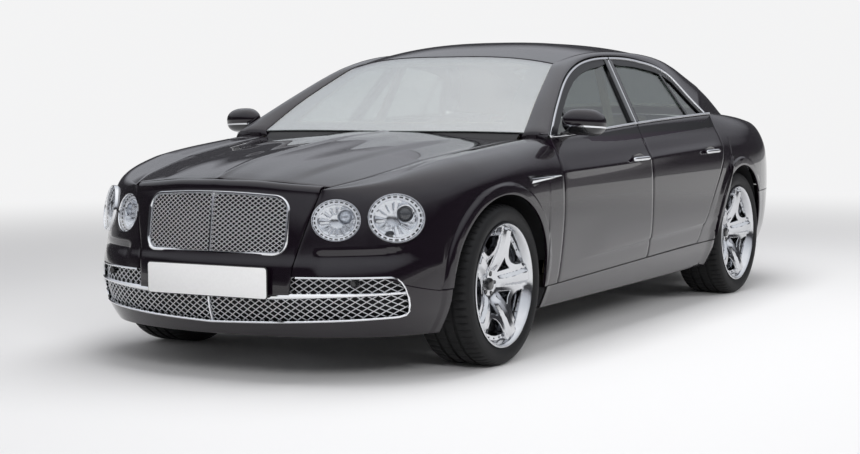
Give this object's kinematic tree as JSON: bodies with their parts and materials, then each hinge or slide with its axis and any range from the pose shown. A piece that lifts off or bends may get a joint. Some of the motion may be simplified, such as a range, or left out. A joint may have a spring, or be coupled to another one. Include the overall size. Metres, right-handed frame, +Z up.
{
  "type": "luxury saloon car",
  "caption": "Four-door luxury saloon with round twin headlamps, a lattice grille, opening doors, bonnet and boot lid, steered front wheels and a furnished cabin.",
  "frame": {"origin": "on the ground, midway along and across the car", "axes": "+X forward, +Y to the left, +Z up"},
  "size_m": [5.2961, 2.2072, 1.4882],
  "materials": {
    "paint": "deep aubergine metallic paint under clear coat",
    "glass": "clear glass",
    "bright": "bright polished trim",
    "mesh": "dark polished wire",
    "lamp": "bright lamp bowl",
    "red_lamp": "red lens",
    "steel": "black painted steel",
    "alloy": "polished alloy",
    "tyre": "black rubber",
    "hide": "cream hide",
    "hide_dark": "dark hide",
    "trim": "tan trim",
    "iron": "bare metal",
    "pipe": "steel pipe"
  },
  "bodies": {
    "car": {"floor_pan": "steel", "front_structure": "steel", "cabin_frame": "paint", "rear_shelf": "trim", "roof": "paint", "front_wings": "paint", "quarter_panels": "paint", "nose_panel": "paint", "front_bumper": "paint", "rear_bumper": "paint", "grille": "bright", "lower_grille": "mesh", "headlamps": "lamp", "lamp_lenses": "glass", "tail_lamps": "red_lamp", "windscreen": "glass", "rear_window": "glass", "dashboard": "trim", "console": "trim", "front_seats": "hide", "rear_seat": "hide", "engine": "iron", "radiator": "iron", "exhaust": "pipe", "suspension": "iron"},
    "steering": {"steering_wheel": "hide_dark"},
    "front_left_upright": {"front_left_knuckle": "iron"},
    "front_right_upright": {"front_right_knuckle": "iron"},
    "bonnet": {"hood": "paint"},
    "boot": {"trunk_lid": "paint"},
    "front_left_wheel": {"front_left_tyre": "tyre", "front_left_rim": "alloy"},
    "front_left_leaf": {"front_left_door": "paint", "front_left_window": "glass", "left_mirror": "paint"},
    "front_right_wheel": {"front_right_tyre": "tyre", "front_right_rim": "alloy"},
    "front_right_leaf": {"front_right_door": "paint", "front_right_window": "glass", "right_mirror": "paint"},
    "rear_left_wheel": {"rear_left_tyre": "tyre", "rear_left_rim": "alloy"},
    "rear_left_leaf": {"rear_left_door": "paint", "rear_left_window": "glass"},
    "rear_right_wheel": {"rear_right_tyre": "tyre", "rear_right_rim": "alloy"},
    "rear_right_leaf": {"rear_right_door": "paint", "rear_right_window": "glass"}
  },
  "joints": [
    {"name": "steer_left", "type": "hinge", "parent": "car", "child": "front_left_upright", "pos_m": [1.722, 0.7035, 0.363], "axis": [0, 0, 1], "range_deg": [-32, 32]},
    {"name": "steer_right", "type": "hinge", "parent": "car", "child": "front_right_upright", "pos_m": [1.722, -0.7035, 0.363], "axis": [0, 0, 1], "range_deg": [-32, 32]},
    {"name": "steering_turn", "type": "hinge", "parent": "car", "child": "steering", "pos_m": [0.53414, 0.385, 0.90768], "axis": [-0.8988, 0, 0.4384], "range_deg": [-450, 450]},
    {"name": "spin_front_left", "type": "hinge", "parent": "front_left_upright", "child": "front_left_wheel", "pos_m": [1.722, 0.83, 0.363], "axis": [0, 1, 0], "continuous": true},
    {"name": "spin_front_right", "type": "hinge", "parent": "front_right_upright", "child": "front_right_wheel", "pos_m": [1.722, -0.83, 0.363], "axis": [0, 1, 0], "continuous": true},
    {"name": "spin_rear_left", "type": "hinge", "parent": "car", "child": "rear_left_wheel", "pos_m": [-1.343, 0.83, 0.363], "axis": [0, 1, 0], "continuous": true},
    {"name": "spin_rear_right", "type": "hinge", "parent": "car", "child": "rear_right_wheel", "pos_m": [-1.343, -0.83, 0.363], "axis": [0, 1, 0], "continuous": true},
    {"name": "swing_front_left", "type": "hinge", "parent": "car", "child": "front_left_leaf", "pos_m": [1.13605, 0.97371, 0.68448], "axis": [0, 0, -1], "range_deg": [0, 65]},
    {"name": "swing_front_right", "type": "hinge", "parent": "car", "child": "front_right_leaf", "pos_m": [1.13605, -0.97371, 0.68448], "axis": [0, 0, 1], "range_deg": [0, 65]},
    {"name": "swing_rear_left", "type": "hinge", "parent": "car", "child": "rear_left_leaf", "pos_m": [0.04083, 0.97398, 0.68448], "axis": [0, 0, -1], "range_deg": [0, 65]},
    {"name": "swing_rear_right", "type": "hinge", "parent": "car", "child": "rear_right_leaf", "pos_m": [0.04083, -0.97398, 0.68448], "axis": [0, 0, 1], "range_deg": [0, 65]},
    {"name": "bonnet_lift", "type": "hinge", "parent": "car", "child": "bonnet", "pos_m": [1.21026, 0, 0.99076], "axis": [0, -1, 0], "range_deg": [0, 55]},
    {"name": "boot_lift", "type": "hinge", "parent": "car", "child": "boot", "pos_m": [-2.01982, 0, 1.02209], "axis": [0, 1, 0], "range_deg": [0, 75]}
  ],
  "couplings": [
    {"joint": "steer_right", "follows": "steer_left", "ratio": 1},
    {"joint": "steering_turn", "follows": "steer_left", "ratio": 14}
  ]
}
